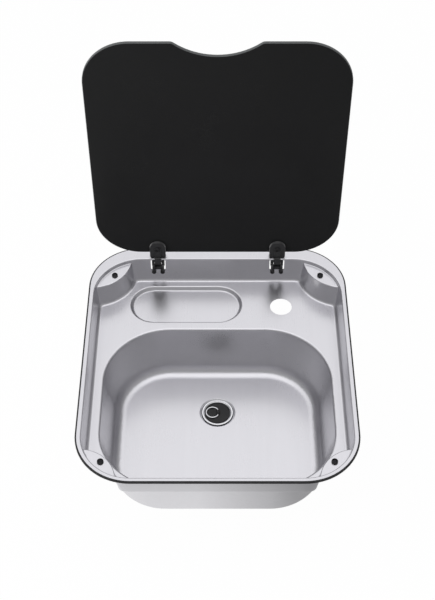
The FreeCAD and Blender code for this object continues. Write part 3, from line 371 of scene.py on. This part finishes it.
# closed outlines in mm: the radius from the drain's centre, and the height above its collar
DRAIN_RINGS = (
    # painted shade: a black rubber bead that fills the groove round the collar to darken it
    ("drain_groove_shade_bead", RUBBER, "rubber",
     ((24.65, -7.6), (28.1, -7.6), (28.1, -3.5), (27.3, -2.7), (25.45, -2.7), (24.65, -3.5))),
    # the polished dished ring in the mouth of the groove
    ("drain_dish_ring", CHROME, "waste_chrome",
     ((25.5, -3.2), (28.1, -3.2), (28.3, -0.6), (28.0, -0.35), (25.9, -1.7), (25.5, -2.1))),
    # the coned lip inside the collar
    ("drain_lip_ring", CHROME, "waste_chrome",
     ((20.5, -3.4), (21.9, -3.4), (21.9, -0.5), (21.7, -0.35), (20.5, -1.15))),
)
TURN_STEPS = 96
TURN_SHARP = 40

# the folded lip and the two ears of each hinge base
LIP_WIDTH = 13.4 * MM
LIP_FRONT = 2.45 * MM   # in front of the pivot line
LIP_BACK = 0.6 * MM
LIP_LOW = 11.4 * MM     # below the pivot line
LIP_TOP = 9.4 * MM
EAR_FROM = 9.25 * MM    # beside the middle of the base
EAR_TO = 10.25 * MM
EAR_DROP = 1.5 * MM     # below the top of the base
BLOCK_BEVEL = 0.2 * MM
BLOCK_SHARP = 30


def box_of(item):
    """The low and high corners of a CAD node's box in the world."""
    corners = [NODES[item].matrix_world @ Vector(corner) for corner in NODES[item].bound_box]
    columns = list(zip(*corners))
    return [min(column) for column in columns], [max(column) for column in columns]


def turned_ring(name, outline, centre, material, body):
    """A ring turned about the vertical line through centre from a (radius, z) outline."""
    x, y = centre
    vertices = []
    for step in range(TURN_STEPS):
        angle = 2 * math.pi * step / TURN_STEPS
        vertices += [(x + r * math.cos(angle), y + r * math.sin(angle), z) for r, z in outline]
    count = len(outline)
    faces = []
    for step in range(TURN_STEPS):
        here, there = step * count, (step + 1) % TURN_STEPS * count
        for k in range(count):
            follow = (k + 1) % count
            faces.append((here + k, there + k, there + follow, here + follow))
    mesh = bpy.data.meshes.new(name)
    mesh.from_pydata(vertices, [], faces)
    mesh.shade_smooth()
    mesh.set_sharp_from_angle(angle=math.radians(TURN_SHARP))
    add_piece(name, mesh, material, body)


def block(name, low, high, material, body):
    """A box between two corners, with eased edges."""
    work = bmesh.new()
    bmesh.ops.create_cube(work, size=1.0)
    for vert in work.verts:
        vert.co = Vector([a + (b - a) * (c + 0.5) for a, b, c in zip(low, high, vert.co)])
    mesh = bpy.data.meshes.new(name)
    work.to_mesh(mesh)
    work.free()
    piece = add_piece(name, mesh, material, body)
    ease_edges(piece, BLOCK_BEVEL, math.radians(BLOCK_SHARP))


def drain_rings():
    """The painted-shade bead in the groove, the dished ring and coned lip, placed on the middle and
    top of the drain's collar.
    """
    low, high = box_of("waste_flange")
    centre = ((low[0] + high[0]) / 2, (low[1] + high[1]) / 2)
    for name, material, slot, profile in DRAIN_RINGS:
        outline = [(r * MM, high[2] + z * MM) for r, z in profile]
        turned_ring(name, outline, centre, material, "sink")


def bracket_lips():
    """The lip and ears of each hinge base, which close the hinge window round the arm."""
    for side in ("left", "right"):
        low, high = box_of("hinge_base_" + side)
        middle = (low[0] + high[0]) / 2
        pin_low, pin_high = box_of("hinge_pin_" + side)
        pivot_y, pivot_z = (pin_low[1] + pin_high[1]) / 2, (pin_low[2] + pin_high[2]) / 2
        front, back, foot = pivot_y - LIP_FRONT, pivot_y - LIP_BACK, pivot_z - LIP_LOW
        block("bracket_lip_" + side, (middle - LIP_WIDTH / 2, front, foot),
              (middle + LIP_WIDTH / 2, back, pivot_z - LIP_TOP), BLACK, "sink")
        for hand, start, end in (("a", -EAR_TO, -EAR_FROM), ("b", EAR_FROM, EAR_TO)):
            block(f"bracket_ear_{side}_{hand}", (middle + start, front, foot),
                  (middle + end, back, high[2] - EAR_DROP), BLACK, "sink")


drain_rings()
bracket_lips()


# ---- floor, light and camera ----

FLOOR_HALF = 60.0
FLOOR_GAP = 0.5 * MM            # below the lowest point of the part
FLOOR_COLOUR = (0.80, 0.79, 0.79, 1)
FLOOR_WHITE = 0.98              # share of white in the floor that the camera sees; the rest is matt
FLOOR_PAINTED_SHADE_RIGHT = 0.45          # level of the painted shade on the mirrored floor to the right of the object,
FLOOR_RIGHT = (-0.03, 0.15)     # reached between these places along X
FLOOR_PAINTED_SHADE_FRONT = 0.55          # and of the painted shade well in front of it,
FLOOR_FRONT = (-0.33, -0.25)    # reached between these places along Y
SKY_COLOUR = (0.985, 0.985, 1.0, 1)
SKY_WHITE = 0.99                # the sky as the camera sees it
SKY_LOW = 0.42                  # the sky that lights the object, away from the soft box
SKY_HIGH = 1.15                 # in the soft box
SKY_PEAK = 0.25                 # what is added overhead
SKY_HORIZON = 0.9               # in the band at the horizon
BOX_AXIS = (-0.03, 0.21, 0.9772)
BOX_EDGE = (0.62, 0.81)         # cosine to the axis where the soft box fades in
PEAK_EDGE = (0.86, 0.97)        # height of the direction where the overhead part fades in
HORIZON_EDGE = (0.05, 0.16)     # and where the band at the horizon fades out
KEY_PLACE = (-1.3, -0.6, 0.9)
KEY_AIM = (0, 0, -0.1)
KEY_SIZE = 0.9
KEY_WATTS = 12
CAMERA_PLACE = (0.0, -1.12626, 1.38333)
CAMERA_TILT = 41.879
CAMERA_LENS = 71.33
CAMERA_SENSOR = 36.0


def floor():
    """White to the camera and in mirrored rays, where painted shade dims it to the right and in
    front.
    """
    low = CAD_BOUNDS[0][2] - FLOOR_GAP
    mesh = bpy.data.meshes.new("floor")
    signs = ((-1, -1), (1, -1), (1, 1), (-1, 1))
    corners = [(x * FLOOR_HALF, y * FLOOR_HALF, low) for x, y in signs]
    mesh.from_pydata(corners, [], [(0, 1, 2, 3)])
    piece = bpy.data.objects.new("floor", mesh)
    bpy.context.scene.collection.objects.link(piece)
    material = bpy.data.materials.new("pale_floor")
    material.use_nodes = True
    tree = material.node_tree
    tree.nodes.clear()
    path = node(tree, "ShaderNodeLightPath", {})
    direct = path.outputs["Is Camera Ray"]
    mirrored = add(tree, path.outputs["Is Glossy Ray"], path.outputs["Is Transmission Ray"])
    spot = node(tree, "ShaderNodeSeparateXYZ", {0: place(tree)}).outputs
    # painted shade on the floor that metal mirrors: darker to the right, standing in for the key
    # lamp's shadow, and darker well in front
    painted_floor_shade = times(tree, spread(tree, spot["X"], 1.0, FLOOR_PAINTED_SHADE_RIGHT, *FLOOR_RIGHT),
                 spread(tree, spot["Y"], FLOOR_PAINTED_SHADE_FRONT, 1.0, *FLOOR_FRONT))
    white_share = add(tree, times(tree, direct, FLOOR_WHITE), mirrored)
    level = add(tree, direct, times(tree, mirrored, painted_floor_shade))
    matt = node(tree, "ShaderNodeBsdfDiffuse", {"Color": FLOOR_COLOUR}).outputs[0]
    white = node(tree, "ShaderNodeEmission", {"Color": (1, 1, 1, 1), "Strength": level}).outputs[0]
    mixed = node(tree, "ShaderNodeMixShader", {0: white_share, 1: matt, 2: white})
    node(tree, "ShaderNodeOutputMaterial", {0: mixed.outputs[0]})
    mesh.materials.append(material)


def blend(tree, factor, first, second):
    made = node(tree, "ShaderNodeMix", {0: factor, 2: first, 3: second}, data_type="FLOAT")
    return made.outputs[0]


def world():
    """A soft studio: an overhead soft box leaning to the back, dim sides, a pale horizon."""
    made = bpy.data.worlds.new("studio")
    made.use_nodes = True
    tree = made.node_tree
    tree.nodes.clear()
    way = node(tree, "ShaderNodeTexCoord", {}).outputs["Generated"]
    towards = node(tree, "ShaderNodeVectorMath", {0: way, 1: BOX_AXIS}, operation="DOT_PRODUCT")
    height = node(tree, "ShaderNodeSeparateXYZ", {0: way}).outputs["Z"]
    box = spread(tree, towards.outputs["Value"], SKY_LOW, SKY_HIGH, *BOX_EDGE, "SMOOTHSTEP")
    peak = spread(tree, height, 0.0, SKY_PEAK, *PEAK_EDGE, "SMOOTHSTEP")
    band = spread(tree, height, 1.0, 0.0, *HORIZON_EDGE, "SMOOTHSTEP")
    lit = blend(tree, band, add(tree, box, peak), SKY_HORIZON)
    seen = node(tree, "ShaderNodeLightPath", {}).outputs["Is Camera Ray"]
    level = blend(tree, seen, lit, SKY_WHITE)
    sky = node(tree, "ShaderNodeBackground", {"Color": SKY_COLOUR, "Strength": level})
    node(tree, "ShaderNodeOutputWorld", {0: sky.outputs[0]})
    bpy.context.scene.world = made


def key_lamp():
    """A weak square lamp from the left that doesn't show in mirrored rays."""
    lamp = bpy.data.lights.new("key", "AREA")
    lamp.shape = "RECTANGLE"
    lamp.size = lamp.size_y = KEY_SIZE
    lamp.energy = KEY_WATTS
    piece = bpy.data.objects.new("key", lamp)
    piece.location = KEY_PLACE
    aim = Vector(KEY_AIM) - Vector(KEY_PLACE)
    piece.rotation_euler = aim.to_track_quat("-Z", "Y").to_euler()
    piece.visible_glossy = False
    bpy.context.scene.collection.objects.link(piece)


def camera():
    data = bpy.data.cameras.new("camera")
    data.sensor_width = CAMERA_SENSOR
    data.lens = CAMERA_LENS
    piece = bpy.data.objects.new("camera", data)
    piece.location = CAMERA_PLACE
    piece.rotation_euler = (math.radians(CAMERA_TILT), 0.0, 0.0)
    bpy.context.scene.collection.objects.link(piece)
    bpy.context.scene.camera = piece


floor()
world()
key_lamp()
camera()
bpy.context.scene.view_settings.view_transform = "Standard"
